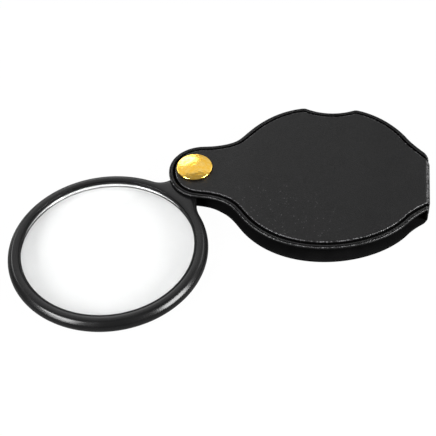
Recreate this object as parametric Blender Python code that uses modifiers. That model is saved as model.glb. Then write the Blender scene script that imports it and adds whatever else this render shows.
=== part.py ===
"""Folding pocket magnifier.

A round lens sits in a moulded ring whose arm turns on a rivet. The rivet holds
the arm between the two covers of a flat sleeve, which is folded from one sheet
at its far end and open along both sides, so the lens swings out and back in.

Frame: the rivet's axis is the Z axis, the sleeve lies on z = 0 and runs along
+X from the rivet to its fold, and the lens stands swung out of the sleeve.
"""

import math

import bmesh
import bpy
from mathutils import Matrix

MM = 0.001
WELD = 0.001 * MM

# Sleeve in plan: the outline from the rivet end past the fold, along the side
# with the finger notch (+Y) and along the plain side (-Y, given as if it were
# +Y). Each key is x and y in millimetres, heading in degrees, and the reach of
# the curve before and after the key.
NOTCHED_SIDE = (
    (-7.6, 0.0, 90.0, 5.3, 5.3),
    (1.9, 9.7, 4.0, 5.3, 3.2),
    (10.6, 12.0, 30.0, 2.2, 2.2),
    (15.8, 18.1, 51.0, 4.0, 11.5),
    (40.2, 28.8, 0.0, 9.8, 11.5),
    (62.6, 16.5, -57.0, 6.7, 2.7),
    (70.5, 8.4, -34.0, 1.5, 1.5),
)
PLAIN_SIDE = (
    (-7.6, 0.0, 90.0, 5.3, 5.3),
    (1.9, 9.7, 4.0, 5.3, 4.1),
    (9.4, 12.1, 31.0, 2.4, 2.4),
    (14.9, 17.8, 54.0, 3.8, 8.3),
    (37.4, 28.8, 0.0, 9.8, 11.1),
    (63.0, 16.8, -55.0, 8.0, 3.7),
    (70.5, 10.2, -34.0, 1.5, 1.5),
)
# The plain side is given at the lower cover. On the upper cover its lobe round
# the rivet is fuller, because the covers bow apart over the lens arm: this is
# what each key gains between the two covers' middle heights.
LOBE_GAIN = (
    (0.0, 0.0, 0.0, 0.0, 0.3),
    (0.0, 1.4, -1.0, 0.7, -0.5),
    (0.5, 0.8, -3.0, 0.4, -0.4),
)
LOWER_MIDDLE = 0.6 * MM
UPPER_MIDDLE = 6.0 * MM
OUTLINE_STEPS = 9
NOTCH_X = 38.6 * MM
NOTCH_DEEPEST_Y = 26.1 * MM
NOTCH_RADIUS = 16.4 * MM
NOTCH_STEPS = 96

# Sleeve in section: the outer face of the upper cover rises from the rivet to a
# shoulder and falls again to the fold. Each key is x and height.
SLEEVE_START_X = -10.0 * MM
SLEEVE_HALF_WIDTH = 34.0 * MM
FOLD_X = 68.9 * MM
FOLD_CORNER = 1.5 * MM
LUG_TOP = 6.6 * MM
FOLD_TOP = 6.6 * MM
TOP_KEYS = (
    (5.4 * MM, LUG_TOP),
    (18.0 * MM, 7.0 * MM),
    (48.0 * MM, 7.0 * MM),
    (FOLD_X - FOLD_CORNER, FOLD_TOP),
)
TOP_STEP = 1.8 * MM
CORNER_STEPS = 6

# Layers of each cover, from its outer face inwards. The skin is thick along its
# margin, where its edge is turned in round the board.
GLUE_GAP = 0.05 * MM
SKIN = 0.40 * MM
BOARD = 0.40 * MM
LINING = 0.25 * MM
BOARD_DEPTH = SKIN + GLUE_GAP
MARGIN_DEPTH = BOARD_DEPTH + BOARD
LINING_DEPTH = MARGIN_DEPTH + GLUE_GAP
COVER = LINING_DEPTH + LINING
MARGIN = 2.4 * MM
BOARD_END_X = 65.0 * MM
LINING_INSET = 0.2 * MM
CUT_EXTRA = 0.3 * MM

# Rivet: a hollow socket from above and a solid post from below, whose end is
# spread open over it. A pressed cap covers the flange of each.
RIVET_STEPS = 40
BARREL_RADIUS = 1.85 * MM
RUNNING_CLEARANCE = 0.05 * MM
BORE_RADIUS = BARREL_RADIUS + RUNNING_CLEARANCE
SOCKET_BORE = 1.25 * MM
POST_RADIUS = 1.2 * MM
PEENED_RADIUS = 1.8 * MM
PEENED_HEIGHT = 0.2 * MM
CAP_SHEET = 0.2 * MM
BASE_SHEET = 0.15 * MM
CAP_RADIUS = 5.3 * MM
CAP_MOUTH_RADIUS = 4.1 * MM
CAP_HEIGHT = 1.1 * MM
CAP_EDGE_HEIGHT = 0.68 * MM
CAP_EDGE_ROUND = 0.3 * MM
CAP_STEPS = 7
UPPER_FLANGE = 0.22 * MM
UPPER_FLANGE_RADIUS = 4.4 * MM
LOWER_FLANGE = 0.2 * MM
LOWER_FLANGE_RADIUS = 4.3 * MM
BASE_RADIUS = 4.6 * MM
BASE_HEIGHT = 0.38 * MM
BASE_BEVEL = 0.1 * MM
SEAT_HOLE_RADIUS = 4.65 * MM
WASHER = 0.25 * MM
WASHER_RADIUS = 4.6 * MM

# Lens arm, modelled along +X from the pivot and then swung out.
SWING_DEGREES = -124.7
PIVOT_TO_LENS = 37.3 * MM
RING_MIDDLE_Z = 3.3 * MM
RING_RADIUS = 28.4 * MM
RING_HALF_HEIGHT = 2.0 * MM
RING_ROUNDING = 1.9 * MM
RING_STEPS = 72
ROUNDING_STEPS = 8
LENS_RADIUS = 25.0 * MM
LENS_EDGE = 2.6 * MM
LENS_CENTRE = 3.9 * MM
LENS_BANDS = 8
HUB_RADIUS = 5.7 * MM
HUB_BOTTOM = COVER + WASHER + 2 * GLUE_GAP
HUB_TOP = LUG_TOP - COVER - WASHER - 2 * GLUE_GAP
WIDE_FILLET = 11.0 * MM
TIGHT_FILLET = 4.7 * MM
ARM_OVERLAP = 1.3 * MM
ARM_STEPS = 12

# Ring and retainer in section. Each key is radius and height above the ring's
# middle, in millimetres. The lens sits on the lower lip, inside the seat, and
# the retainer snaps into the groove between the seat and the mouth.
LOWER_LIP = ((25.5, -1.95), (25.1, -1.84), (24.8, -1.65), (24.8, -1.42))
SEAT = ((25.1, -1.35), (25.1, 1.35))
GROOVE = ((25.35, 1.35), (25.35, 1.62))
MOUTH = ((25.16, 1.68), (25.16, 1.78), (25.4, 1.88), (25.85, 1.96))
RETAINER = (
    (24.98, 1.78),
    (25.11, 1.73),
    (25.11, 1.67),
    (25.3, 1.59),
    (25.3, 1.39),
    (24.5, 1.41),
    (24.5, 1.64),
    (24.66, 1.76),
)


def clear_scene():
    for obj in list(bpy.data.objects):
        bpy.data.objects.remove(obj, do_unlink=True)


def new_collection(name):
    collection = bpy.data.collections.new(name)
    bpy.context.scene.collection.children.link(collection)
    return collection


def new_material(name, colour, roughness, metallic=0.0):
    material = bpy.data.materials.new(name)
    material.use_nodes = True
    shader = material.node_tree.nodes["Principled BSDF"]
    shader.inputs["Base Color"].default_value = (*colour, 1.0)
    shader.inputs["Roughness"].default_value = roughness
    shader.inputs["Metallic"].default_value = metallic
    return material


def clear_glass():
    material = new_material("clear glass", (0.96, 0.97, 0.97), 0.02)
    shader = material.node_tree.nodes["Principled BSDF"]
    shader.inputs["Transmission Weight"].default_value = 1.0
    shader.inputs["IOR"].default_value = 1.52
    return material


def add_object(name, mesh, collection, parent=None):
    obj = bpy.data.objects.new(name, mesh)
    collection.objects.link(obj)
    obj.parent = parent
    return obj


def finish(obj, material, sharp_degrees=35.0):
    """Give a sub-part its material and smooth its rounded faces."""
    obj.data.materials.clear()
    obj.data.materials.append(material)
    obj.data.shade_smooth()
    obj.data.set_sharp_from_angle(angle=math.radians(sharp_degrees))
    return obj


def cut(obj, cutter, operation="DIFFERENCE"):
    modifier = obj.modifiers.new(cutter.name, "BOOLEAN")
    modifier.operation = operation
    modifier.solver = "EXACT"
    modifier.object = cutter


def extruded_mesh(name, outline, thickness, placement):
    """A flat outline made solid about its own plane and moved into place."""
    curve = bpy.data.curves.new(name, "CURVE")
    curve.dimensions = "2D"
    curve.fill_mode = "BOTH"
    curve.render_resolution_u = 0
    curve.extrude = thickness / 2
    spline = curve.splines.new("POLY")
    spline.points.add(len(outline) - 1)
    for point, (x, y) in zip(spline.points, outline):
        point.co = (x, y, 0.0, 1.0)
    spline.use_cyclic_u = True
    shape = add_object(name, curve, bpy.context.scene.collection)
    shape.matrix_world = placement
    bpy.context.view_layer.update()
    depsgraph = bpy.context.evaluated_depsgraph_get()
    mesh = bpy.data.meshes.new_from_object(shape.evaluated_get(depsgraph))
    mesh.transform(shape.matrix_world)
    bpy.data.objects.remove(shape)
    solid = bmesh.new()
    solid.from_mesh(mesh)
    bmesh.ops.remove_doubles(solid, verts=solid.verts, dist=WELD)
    bmesh.ops.recalc_face_normals(solid, faces=solid.faces)
    solid.to_mesh(mesh)
    solid.free()
    return mesh


def plan_mesh(name, outline, bottom, top):
    """A plate whose outline lies in plan, between two heights."""
    placement = Matrix.Translation((0.0, 0.0, (bottom + top) / 2))
    return extruded_mesh(name, outline, top - bottom, placement)


def section_mesh(name, outline):
    """A solid whose outline is its section along the sleeve."""
    upright = Matrix.Rotation(math.radians(90.0), 4, "X")
    return extruded_mesh(name, outline, 2 * SLEEVE_HALF_WIDTH, upright)


def cylinder_mesh(name, radius, bottom, top, x=0.0, y=0.0, segments=RIVET_STEPS):
    shape = bmesh.new()
    bmesh.ops.create_cone(
        shape,
        cap_ends=True,
        segments=segments,
        radius1=radius,
        radius2=radius,
        depth=top - bottom,
        matrix=Matrix.Translation((x, y, (bottom + top) / 2)),
    )
    mesh = bpy.data.meshes.new(name)
    shape.to_mesh(mesh)
    shape.free()
    return mesh


def turned(name, profile, closed, steps, collection, parent=None):
    """A profile of radius and height, turned once about the object's Z axis."""
    edges = [(i, i + 1) for i in range(len(profile) - 1)]
    if closed:
        edges.append((len(profile) - 1, 0))
    mesh = bpy.data.meshes.new(name)
    mesh.from_pydata([(r, 0.0, z) for r, z in profile], edges, [])
    obj = add_object(name, mesh, collection, parent)
    screw = obj.modifiers.new("turn", "SCREW")
    screw.steps = steps
    screw.render_steps = steps
    screw.use_merge_vertices = True
    screw.merge_threshold = WELD
    screw.use_smooth_shade = True
    return obj


def arc(centre_x, centre_y, radius_x, radius_y, start, end, steps):
    """Points on part of an ellipse, from start to end in degrees."""
    points = []
    for step in range(steps + 1):
        angle = math.radians(start + (end - start) * step / steps)
        x = centre_x + radius_x * math.cos(angle)
        y = centre_y + radius_y * math.sin(angle)
        points.append((x, y))
    return points


def bezier_point(start, start_handle, end_handle, end, t):
    s = 1.0 - t
    weights = (s * s * s, 3 * s * s * t, 3 * s * t * t, t * t * t)
    controls = (start, start_handle, end_handle, end)
    x = sum(w * point[0] for w, point in zip(weights, controls))
    y = sum(w * point[1] for w, point in zip(weights, controls))
    return x, y


def side_outline(keys):
    """One side of the outline, from the rivet end past the fold, in metres."""
    points = [(keys[0][0] * MM, keys[0][1] * MM)]
    for before, after in zip(keys, keys[1:]):
        x0, y0, heading0, _, reach0 = before
        x1, y1, heading1, reach1, _ = after
        out = math.radians(heading0)
        into = math.radians(heading1)
        handle0 = (x0 + reach0 * math.cos(out), y0 + reach0 * math.sin(out))
        handle1 = (x1 - reach1 * math.cos(into), y1 - reach1 * math.sin(into))
        for step in range(1, OUTLINE_STEPS + 1):
            t = step / OUTLINE_STEPS
            x, y = bezier_point((x0, y0), handle0, handle1, (x1, y1), t)
            points.append((x * MM, y * MM))
    return points


def plain_side_at(height):
    """The plain side's keys at a height above the lower cover's face."""
    share = (height - LOWER_MIDDLE) / (UPPER_MIDDLE - LOWER_MIDDLE)
    lobe = []
    for key, gain in zip(PLAIN_SIDE, LOBE_GAIN):
        lobe.append(tuple(value + share * more for value, more in zip(key, gain)))
    return tuple(lobe) + PLAIN_SIDE[len(LOBE_GAIN) :]


def sleeve_outline(inset, height):
    """The whole outline in plan at a height, moved inwards by inset."""
    plain = [(x, -y) for x, y in side_outline(plain_side_at(height))]
    plain.reverse()
    outline = plain + side_outline(NOTCHED_SIDE)[1:]
    moved = []
    for i, (x, y) in enumerate(outline):
        before = outline[i - 1] if i else outline[i]
        after = outline[i + 1] if i + 1 < len(outline) else outline[i]
        dx = after[0] - before[0]
        dy = after[1] - before[1]
        length = math.hypot(dx, dy)
        moved.append((x + inset * dy / length, y - inset * dx / length))
    return moved


def top_height(x):
    """Height of the upper cover's outer face at x."""
    height = TOP_KEYS[0][1]
    for (x0, height0), (x1, height1) in zip(TOP_KEYS, TOP_KEYS[1:]):
        t = min(max((x - x0) / (x1 - x0), 0.0), 1.0)
        height += (height1 - height0) * t * t * (3.0 - 2.0 * t)
    return height


def lower_face(depth, end_x):
    """The lower cover's face at a depth below its skin, from start to end."""
    return [(SLEEVE_START_X, depth), (end_x, depth)]


def upper_face(depth, end_x):
    """The upper cover's face at a depth below its skin, from end to start."""
    first_x = TOP_KEYS[0][0]
    count = math.ceil((end_x - first_x) / TOP_STEP)
    points = []
    for i in range(count + 1):
        x = end_x + (first_x - end_x) * i / count
        slope = (top_height(x + WELD) - top_height(x - WELD)) / (2 * WELD)
        length = math.hypot(1.0, slope)
        points.append((x + depth * slope / length, top_height(x) - depth / length))
    points.append((SLEEVE_START_X, LUG_TOP - depth))
    return points


def fold_face(depth):
    """The sheet's face at a depth below its skin, round the fold."""
    x = FOLD_X - FOLD_CORNER
    radius = FOLD_CORNER - depth
    low = arc(x, FOLD_CORNER, radius, radius, -90.0, 0.0, CORNER_STEPS)
    high = arc(x, FOLD_TOP - FOLD_CORNER, radius, radius, 0.0, 90.0, CORNER_STEPS)
    lower = lower_face(depth, x)
    upper = upper_face(depth, x)
    return lower + low[1:] + high + upper[1:]


def sheet_mesh(name, outer, inner):
    """A sheet between two depths, folded over at the sleeve's end."""
    back = fold_face(inner)
    back.reverse()
    return section_mesh(name, fold_face(outer) + back)


def lower_layer_mesh(name, outer, inner, end_x):
    back = lower_face(inner, end_x)
    back.reverse()
    return section_mesh(name, lower_face(outer, end_x) + back)


def upper_layer_mesh(name, outer, inner, end_x):
    back = upper_face(inner, end_x)
    back.reverse()
    return section_mesh(name, upper_face(outer, end_x) + back)


def trim_mesh(name, inset, bottom, top):
    """A solid whose sides run between the sleeve's outlines at two heights."""
    solid = bmesh.new()
    rims = []
    for height in (bottom, top):
        outline = sleeve_outline(inset, height)
        rims.append([solid.verts.new((x, y, height)) for x, y in outline])
        solid.faces.new(rims[-1])
    low, high = rims
    for i, vertex in enumerate(low):
        solid.faces.new((low[i - 1], vertex, high[i]))
        solid.faces.new((low[i - 1], high[i], high[i - 1]))
    bmesh.ops.recalc_face_normals(solid, faces=solid.faces)
    mesh = bpy.data.meshes.new(name)
    solid.to_mesh(mesh)
    solid.free()
    return mesh


def trim_to_outline(obj, inset, cutters):
    """Cut a layer to the sleeve's outline in plan, finger notch included."""
    name = obj.name
    bottom = -CAP_HEIGHT
    top = LUG_TOP + 2 * CAP_HEIGHT
    plan = trim_mesh(name + "_plan", inset, bottom, top)
    cut(obj, add_object(name + "_plan", plan, cutters), "INTERSECT")
    notch_y = NOTCH_DEEPEST_Y + NOTCH_RADIUS
    radius = NOTCH_RADIUS + inset
    notch = cylinder_mesh(
        name + "_notch", radius, bottom, top, NOTCH_X, notch_y, NOTCH_STEPS
    )
    cut(obj, add_object(name + "_notch", notch, cutters))


def bore(obj, radius, bottom, top, cutters, parent=None):
    name = obj.name + "_bore"
    mesh = cylinder_mesh(name, radius, bottom, top)
    cut(obj, add_object(name, mesh, cutters, parent))


def make_board_pockets(cutters):
    """The two hollows in the skin that hold the boards."""
    deepest = MARGIN_DEPTH + CUT_EXTRA
    lower = lower_layer_mesh("lower_pocket", SKIN, deepest, BOARD_END_X)
    upper = upper_layer_mesh("upper_pocket", SKIN, deepest, BOARD_END_X)
    pockets = [
        add_object("lower_pocket", lower, cutters),
        add_object("upper_pocket", upper, cutters),
    ]
    for pocket in pockets:
        trim_to_outline(pocket, MARGIN, cutters)
    return pockets


def make_case_skin(parts, cutters):
    mesh = sheet_mesh("case_skin", 0.0, MARGIN_DEPTH)
    skin = add_object("case_skin", mesh, parts)
    trim_to_outline(skin, 0.0, cutters)
    for pocket in make_board_pockets(cutters):
        cut(skin, pocket)
    middle = LUG_TOP / 2
    upper_hole = cylinder_mesh("skin_upper_bore", BORE_RADIUS, middle, LUG_TOP + COVER)
    cut(skin, add_object("skin_upper_bore", upper_hole, cutters))
    seat = cylinder_mesh("skin_seat_hole", SEAT_HOLE_RADIUS, -COVER, middle)
    cut(skin, add_object("skin_seat_hole", seat, cutters))
    leatherette = new_material("leatherette", (0.022, 0.022, 0.023), 0.5)
    return finish(skin, leatherette)


def make_case_lining(parts, cutters):
    mesh = sheet_mesh("case_lining", LINING_DEPTH, COVER)
    lining = add_object("case_lining", mesh, parts)
    trim_to_outline(lining, LINING_INSET, cutters)
    bore(lining, BORE_RADIUS, -COVER, LUG_TOP + COVER, cutters)
    lining_sheet = new_material("lining sheet", (0.012, 0.012, 0.013), 0.8)
    return finish(lining, lining_sheet)


def make_stiffeners(parts, cutters):
    end_x = BOARD_END_X - GLUE_GAP
    lower = lower_layer_mesh("lower_stiffener", BOARD_DEPTH, MARGIN_DEPTH, end_x)
    upper = upper_layer_mesh("upper_stiffener", BOARD_DEPTH, MARGIN_DEPTH, end_x)
    grey_board = new_material("grey board", (0.25, 0.24, 0.22), 0.9)
    for mesh in (lower, upper):
        board = add_object(mesh.name, mesh, parts)
        trim_to_outline(board, MARGIN + GLUE_GAP, cutters)
        bore(board, BORE_RADIUS, -COVER, LUG_TOP + COVER, cutters)
        finish(board, grey_board)


def in_metres(keys):
    return [(radius * MM, height * MM) for radius, height in keys]


def ring_profile():
    """The ring's section: rounded outside, with a seat and a groove inside."""
    rounded = arc(
        RING_RADIUS - RING_ROUNDING,
        0.0,
        RING_ROUNDING,
        RING_HALF_HEIGHT,
        90.0,
        -90.0,
        ROUNDING_STEPS,
    )
    return rounded + in_metres(LOWER_LIP + SEAT + GROOVE + MOUTH)


def neck_fillet(radius):
    """Centre of a fillet between hub and ring, and its end angles at each."""
    to_hub = HUB_RADIUS + radius
    to_ring = RING_RADIUS + radius
    span = PIVOT_TO_LENS
    x = (to_hub**2 - to_ring**2 + span**2) / (2 * span)
    y = math.sqrt(to_hub**2 - x**2)
    at_hub = math.degrees(math.atan2(y, x))
    at_ring = math.degrees(math.atan2(y, span - x))
    return x, y, at_hub, at_ring


def arm_outline():
    """Hub and neck in plan; the neck's hollow sides run out along the ring."""
    wide = WIDE_FILLET
    tight = TIGHT_FILLET
    wide_x, wide_y, wide_hub, wide_ring = neck_fillet(wide)
    tight_x, tight_y, tight_hub, tight_ring = neck_fillet(tight)
    hub_end = 360 - tight_hub
    hub = arc(0, 0, HUB_RADIUS, HUB_RADIUS, wide_hub, hub_end, 2 * ARM_STEPS)
    start = 180 - tight_hub
    lower = arc(tight_x, -tight_y, tight, tight, start, tight_ring, ARM_STEPS)
    inner = RING_RADIUS - ARM_OVERLAP
    start = 180 + tight_ring
    end = 180 - wide_ring
    joined = arc(PIVOT_TO_LENS, 0, inner, inner, start, end, ARM_STEPS)
    end = wide_hub - 180
    upper = arc(wide_x, wide_y, wide, wide, -wide_ring, end, ARM_STEPS)
    return hub + lower[1:] + joined + upper[:-1]


def make_lens_frame(parts, cutters, pivot):
    frame = turned("lens_frame", ring_profile(), True, RING_STEPS, parts, pivot)
    frame.location = (PIVOT_TO_LENS, 0.0, RING_MIDDLE_Z)
    arm = plan_mesh("lens_arm", arm_outline(), HUB_BOTTOM, HUB_TOP)
    cut(frame, add_object("lens_arm", arm, cutters, pivot), "UNION")
    bore(frame, BORE_RADIUS, 0.0, LUG_TOP, cutters, pivot)
    black_plastic = new_material("black plastic", (0.014, 0.014, 0.015), 0.35)
    return finish(frame, black_plastic)


def lens_surface(radius):
    """Height of the lens's upper face above its middle, at a radius."""
    rise = (LENS_CENTRE - LENS_EDGE) / 2
    curvature = (LENS_RADIUS**2 + rise**2) / (2 * rise)
    drop = curvature - math.sqrt(curvature**2 - radius**2)
    return LENS_CENTRE / 2 - drop


def make_lens(parts, pivot):
    upper = []
    for i in range(LENS_BANDS + 1):
        radius = LENS_RADIUS * i / LENS_BANDS
        upper.append((radius, lens_surface(radius)))
    lower = [(radius, -z) for radius, z in upper]
    lower.reverse()
    lens = turned("lens", upper + lower, False, RING_STEPS, parts, pivot)
    lens.location = (PIVOT_TO_LENS, 0.0, RING_MIDDLE_Z)
    return finish(lens, clear_glass())


def make_lens_retainer(parts, pivot):
    """A snap ring that sits in the groove above the lens's edge."""
    profile = in_metres(RETAINER)
    retainer = turned("lens_retainer", profile, True, RING_STEPS, parts, pivot)
    retainer.location = (PIVOT_TO_LENS, 0.0, RING_MIDDLE_Z)
    ring_plastic = new_material("ring plastic", (0.018, 0.018, 0.019), 0.3)
    return finish(retainer, ring_plastic)


def make_washers(parts):
    """A thin friction washer on each side of the hub."""
    washer_plastic = new_material("washer plastic", (0.62, 0.60, 0.55), 0.45)
    lower = COVER + GLUE_GAP
    upper = HUB_TOP + GLUE_GAP
    for name, bottom in (("lower_washer", lower), ("upper_washer", upper)):
        profile = [
            (WASHER_RADIUS, bottom + WASHER),
            (WASHER_RADIUS, bottom),
            (BORE_RADIUS, bottom),
            (BORE_RADIUS, bottom + WASHER),
        ]
        washer = turned(name, profile, True, RIVET_STEPS, parts)
        finish(washer, washer_plastic)


def make_rivet_cap(parts, gilt_brass):
    """The domed upper cap, pressed from sheet and closed under the flange."""
    bottom = LUG_TOP + GLUE_GAP
    edge = LUG_TOP + CAP_EDGE_HEIGHT
    top = LUG_TOP + CAP_HEIGHT
    shoulder = CAP_RADIUS - CAP_EDGE_ROUND
    rise = top - edge
    bend = (shoulder**2 + rise**2) / (2 * rise)
    dome = []
    for i in range(CAP_STEPS + 1):
        radius = shoulder * i / CAP_STEPS
        height = top - bend + math.sqrt(bend**2 - radius**2)
        dome.append((radius, height))
    side_middle = (edge + bottom) / 2
    side_rise = (edge - bottom) / 2
    side = arc(
        shoulder, side_middle, CAP_EDGE_ROUND, side_rise, 90.0, -90.0, CORNER_STEPS
    )
    lip_top = bottom + CAP_SHEET
    roof = [(shoulder - CAP_SHEET / 2, lip_top)]
    roof.append((shoulder - CAP_SHEET / 2, edge - CAP_SHEET))
    for radius, height in reversed(dome[:-1]):
        roof.append((radius, height - CAP_SHEET))
    mouth = [(CAP_MOUTH_RADIUS, bottom), (CAP_MOUTH_RADIUS, lip_top)]
    profile = dome + side[1:] + mouth + roof
    cap = turned("rivet_cap", profile, False, RIVET_STEPS, parts)
    return finish(cap, gilt_brass)


def make_rivet_socket(parts, plain_brass):
    """The upper half: a barrel under a flange that the cap is closed round."""
    foot = SKIN + GLUE_GAP
    flange = LUG_TOP + CAP_SHEET + 2 * GLUE_GAP
    profile = [
        (UPPER_FLANGE_RADIUS, flange + UPPER_FLANGE),
        (UPPER_FLANGE_RADIUS, flange),
        (BARREL_RADIUS, flange),
        (BARREL_RADIUS, foot),
        (SOCKET_BORE, foot),
        (SOCKET_BORE, flange + UPPER_FLANGE),
    ]
    socket = turned("rivet_socket", profile, True, RIVET_STEPS, parts)
    return finish(socket, plain_brass)


def make_rivet_post(parts, plain_brass):
    """The lower half: a flange and a post, spread open above the socket."""
    flange = BASE_SHEET + GLUE_GAP
    socket_top = LUG_TOP + CAP_SHEET + UPPER_FLANGE + 2 * GLUE_GAP
    head = socket_top + GLUE_GAP
    profile = [
        (0.0, head + PEENED_HEIGHT),
        (PEENED_RADIUS, head + PEENED_HEIGHT),
        (PEENED_RADIUS, head),
        (POST_RADIUS, head),
        (POST_RADIUS, flange + LOWER_FLANGE),
        (LOWER_FLANGE_RADIUS, flange + LOWER_FLANGE),
        (LOWER_FLANGE_RADIUS, flange),
        (0.0, flange),
    ]
    post = turned("rivet_post", profile, False, RIVET_STEPS, parts)
    return finish(post, plain_brass)


def make_rivet_base(parts, gilt_brass):
    """The flat lower cap, sunk in the leatherette so that the sleeve lies flat."""
    inner = LOWER_FLANGE_RADIUS + GLUE_GAP
    profile = [
        (0.0, BASE_SHEET),
        (inner, BASE_SHEET),
        (inner, BASE_HEIGHT),
        (BASE_RADIUS, BASE_HEIGHT),
        (BASE_RADIUS, BASE_BEVEL),
        (BASE_RADIUS - BASE_BEVEL, 0.0),
        (0.0, 0.0),
    ]
    base = turned("rivet_base", profile, False, RIVET_STEPS, parts)
    return finish(base, gilt_brass)


def make_pivot(parts):
    """The joint's axis: the lens arm hangs on it and turns about its Z."""
    pivot = bpy.data.objects.new("lens_pivot_axis", None)
    pivot.rotation_euler.z = math.radians(SWING_DEGREES)
    parts.objects.link(pivot)
    return pivot


def hide_cutters(cutters):
    for cutter in cutters.objects:
        cutter.hide_render = True
        cutter.display_type = "WIRE"


def build():
    clear_scene()
    parts = new_collection("folding_magnifier")
    cutters = new_collection("cutters")
    make_case_skin(parts, cutters)
    make_case_lining(parts, cutters)
    make_stiffeners(parts, cutters)
    pivot = make_pivot(parts)
    make_lens_frame(parts, cutters, pivot)
    make_lens(parts, pivot)
    make_lens_retainer(parts, pivot)
    make_washers(parts)
    gilt_brass = new_material("gilt brass", (0.95, 0.74, 0.32), 0.18, 1.0)
    plain_brass = new_material("plain brass", (0.72, 0.55, 0.25), 0.35, 1.0)
    make_rivet_cap(parts, gilt_brass)
    make_rivet_base(parts, gilt_brass)
    make_rivet_socket(parts, plain_brass)
    make_rivet_post(parts, plain_brass)
    hide_cutters(cutters)


build()
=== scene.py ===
"""Folding pocket magnifier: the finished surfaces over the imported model."""

import math

import bmesh
import bpy
from mathutils import Matrix, Vector
from mathutils.geometry import delaunay_2d_cdt


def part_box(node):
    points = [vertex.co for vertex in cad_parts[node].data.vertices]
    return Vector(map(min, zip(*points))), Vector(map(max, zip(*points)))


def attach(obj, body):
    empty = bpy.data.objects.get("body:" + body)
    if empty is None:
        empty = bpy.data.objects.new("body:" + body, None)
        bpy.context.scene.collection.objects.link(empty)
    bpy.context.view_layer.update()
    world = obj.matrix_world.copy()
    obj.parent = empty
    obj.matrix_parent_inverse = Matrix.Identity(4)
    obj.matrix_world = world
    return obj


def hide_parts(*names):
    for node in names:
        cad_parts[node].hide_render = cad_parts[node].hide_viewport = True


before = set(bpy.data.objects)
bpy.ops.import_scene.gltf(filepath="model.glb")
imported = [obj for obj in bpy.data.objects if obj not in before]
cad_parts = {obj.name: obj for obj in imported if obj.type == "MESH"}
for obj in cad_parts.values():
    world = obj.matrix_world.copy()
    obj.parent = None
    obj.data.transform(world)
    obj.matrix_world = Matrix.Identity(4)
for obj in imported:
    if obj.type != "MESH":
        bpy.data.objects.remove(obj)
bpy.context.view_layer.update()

MM = 0.001

# ---------------------------------------------------------------- sleeve sizes
# All sizes below are in millimetres, in the model's frame, unless a line says
# otherwise. A side's outline is a chain of curves through keys: x, distance
# from the middle line, heading in degrees, and handle lengths before and after.
NOTCHED_SIDE = (
    (-7.6, 0.0, 90.0, 5.3, 5.3),
    (1.9, 9.7, 4.0, 5.3, 3.2),
    (10.6, 12.0, 30.0, 2.2, 2.2),
    (15.8, 18.1, 51.0, 4.0, 11.5),
    (40.2, 28.8, 0.0, 9.8, 11.5),
    (62.6, 16.5, -57.0, 6.7, 2.7),
    (70.5, 8.4, -34.0, 1.5, 1.5),
)
PLAIN_SIDE = (
    (-7.6, 0.0, 90.0, 5.3, 5.3),
    (1.9, 9.7, 4.0, 5.3, 4.1),
    (9.4, 12.1, 31.0, 2.4, 2.4),
    (14.9, 17.8, 54.0, 3.8, 8.3),
    (37.4, 28.8, 0.0, 9.8, 11.1),
    (63.0, 16.8, -55.0, 8.0, 3.7),
    (70.5, 10.2, -34.0, 1.5, 1.5),
)
# What the upper cover's lobe at the rivet adds to the plain side's first keys.
LOBE_GAIN = (
    (0.0, 0.0, 0.0, 0.0, 0.3),
    (0.0, 1.4, -1.0, 0.7, -0.5),
    (0.5, 0.8, -3.0, 0.4, -0.4),
)
NOTCH_X = 38.6
NOTCH_DEEPEST_Y = 26.1
NOTCH_RADIUS = 16.4
NOTCH_STEPS = 40
CURVE_STEPS = 60
FOLD_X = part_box("case_skin")[1].x / MM
FOLD_CORNER = 1.5
BEND_X = FOLD_X - FOLD_CORNER
LUG_TOP = 6.6
# Height of the upper cover's outer face along x.
TOP_KEYS = ((5.4, LUG_TOP), (18.0, 7.0), (48.0, 7.0), (BEND_X, LUG_TOP))
SLOPE_STEP = 0.05
# The spokes that move the outline inward: their spacing, how often the outline
# and their directions are evened out, where they start to turn square to the
# fold, and the least cosine they may make with the edge's own normal.
SPOKE = 0.42
OUTLINE_PASSES = 3
WIDE_PASSES = 42
NEAR_PASSES = 8
SQUARE_FROM = 58.0
LEAST_COSINE = 0.4
EDGE_STEP = 0.2
# Rows of faces round a bend, up the fold's wall, and across the fold.
BEND_ROWS = 8
WALL_ROWS = 4
ACROSS = 34
# Spacing of the points inside a flat face, and points round a hole.
PLATE_GRID = 1.7
HOLE_STEPS = 64

# The sheets' edge sections: distance in from the edge and depth below the
# cover's outer face. The cover's runs from outside to inside.
OUTER_SECTION = (
    (2.7, 0.0),
    (2.45, 0.0),
    (2.27, 0.01),
    (2.15, 0.03),
    (2.07, 0.065),
    (2.01, 0.12),
    (1.97, 0.2),
    (1.93, 0.34),
    (1.89, 0.5),
    (1.84, 0.64),
    (1.76, 0.74),
    (1.64, 0.78),
    (1.52, 0.78),
    (1.41, 0.74),
    (1.34, 0.66),
    (1.28, 0.56),
    (1.21, 0.45),
    (1.13, 0.37),
    (1.03, 0.315),
    (0.9, 0.29),
    (0.76, 0.285),
    (0.66, 0.295),
    (0.59, 0.33),
    (0.53, 0.42),
    (0.43, 0.43),
    (0.37, 0.37),
    (0.3, 0.345),
    (0.22, 0.37),
    (0.14, 0.44),
    (0.05, 0.58),
    (0.0, 0.7),
)
# The two creases of that section: inset from, inset to, and least depth. Their faces
# get near-black painted shade.
CREASES = ((1.1, 2.1, 0.3), (0.4, 0.6, 0.32))
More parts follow.
